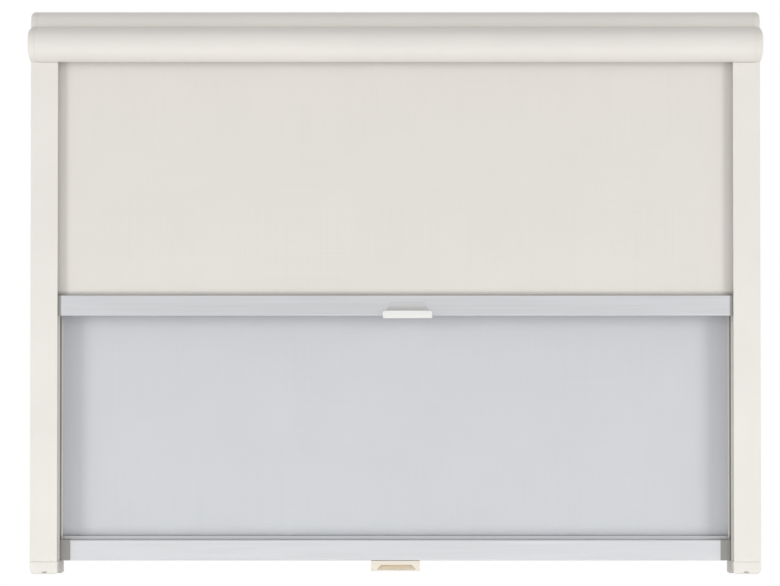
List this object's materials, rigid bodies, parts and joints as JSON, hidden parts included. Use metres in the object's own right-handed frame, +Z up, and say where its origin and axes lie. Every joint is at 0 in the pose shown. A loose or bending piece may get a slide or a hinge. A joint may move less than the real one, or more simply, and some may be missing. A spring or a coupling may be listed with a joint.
{
  "type": "day and night roller blind",
  "caption": "Cassette roller blind with side guides, a day screen and a night cloth, each on a spring roller with a pull bar that stays where it is put.",
  "frame": {"origin": "middle of the four wall screw holes, on the wall plane at the back of the blind", "axes": "+X along the cassette to the right seen from the room, +Y into the wall, +Z up"},
  "size_m": [0.79, 0.0516, 0.61],
  "materials": {
    "cream_paint": "satin powder coat on extruded aluminium",
    "cream_plastic": "fine moulded",
    "foot_plastic": "fine moulded",
    "anodised_aluminium": "satin anodised, brushed along",
    "bare_aluminium": "drawn tube",
    "grey_plastic": "moulded",
    "bearing_plastic": "turned, slippery",
    "white_plastic": "gloss",
    "beige_plastic": "fine moulded",
    "brake_rubber": "matt",
    "steel": "zinc plated",
    "spring_steel": "bright wire and strip",
    "night_cloth": "close cloth that stops light",
    "day_screen": "fine cloth that lets light through"
  },
  "bodies": {
    "blind_frame": {"cassette_back_rail": "cream_paint", "cassette_cover": "cream_paint", "end_cap_left": "cream_plastic", "end_cap_right": "cream_plastic", "end_cap_screws": "steel", "guide_rail_left": "cream_paint", "guide_foot_left": "foot_plastic", "foot_cap_left": "cream_plastic", "guide_rail_right": "cream_paint", "guide_foot_right": "foot_plastic", "foot_cap_right": "cream_plastic", "night_bearing_bush": "bearing_plastic", "night_spring_shaft": "steel", "night_torsion_spring": "spring_steel", "day_bearing_bush": "bearing_plastic", "day_spring_shaft": "steel", "day_torsion_spring": "spring_steel"},
    "night_roller": {"night_tube": "bare_aluminium", "night_cloth_roll": "night_cloth", "night_idler_plug": "grey_plastic", "night_spring_plug": "grey_plastic"},
    "day_roller": {"day_tube": "bare_aluminium", "day_cloth_roll": "day_screen", "day_idler_plug": "grey_plastic", "day_spring_plug": "grey_plastic"},
    "night_bar": {"night_bar_profile": "anodised_aluminium", "night_bar_slider_left": "grey_plastic", "night_bar_slider_right": "grey_plastic", "night_brake_blocks": "brake_rubber", "night_leaf_springs": "spring_steel", "night_handle": "white_plastic", "night_cloth_hem": "night_cloth", "night_cloth": "night_cloth"},
    "day_bar": {"day_bar_profile": "anodised_aluminium", "day_bar_slider_left": "grey_plastic", "day_bar_slider_right": "grey_plastic", "day_brake_blocks": "brake_rubber", "day_leaf_springs": "spring_steel", "day_handle": "beige_plastic", "day_screen_hem": "day_screen", "day_screen": "day_screen"}
  },
  "joints": [
    {"name": "night_bar_slide", "type": "slide", "parent": "blind_frame", "child": "night_bar", "axis": [0, 0, 1], "range_m": [-0.264, 0.252], "deforming": ["night_cloth"]},
    {"name": "day_bar_slide", "type": "slide", "parent": "blind_frame", "child": "day_bar", "axis": [0, 0, 1], "range_m": [0, 0.514], "deforming": ["day_screen"]},
    {"name": "night_roller_spin", "type": "hinge", "parent": "blind_frame", "child": "night_roller", "pos_m": [0, -0.0329, 0.2788], "axis": [1, 0, 0], "range_deg": [-1382.6, 1320]},
    {"name": "day_roller_spin", "type": "hinge", "parent": "blind_frame", "child": "day_roller", "pos_m": [0, -0.01595, 0.3001], "axis": [1, 0, 0], "range_deg": [0, 2809.8]}
  ],
  "couplings": [
    {"joint": "night_roller_spin", "follows": "night_bar_slide", "rad_per_m": 91.075},
    {"joint": "day_roller_spin", "follows": "day_bar_slide", "rad_per_m": 95.238}
  ]
}
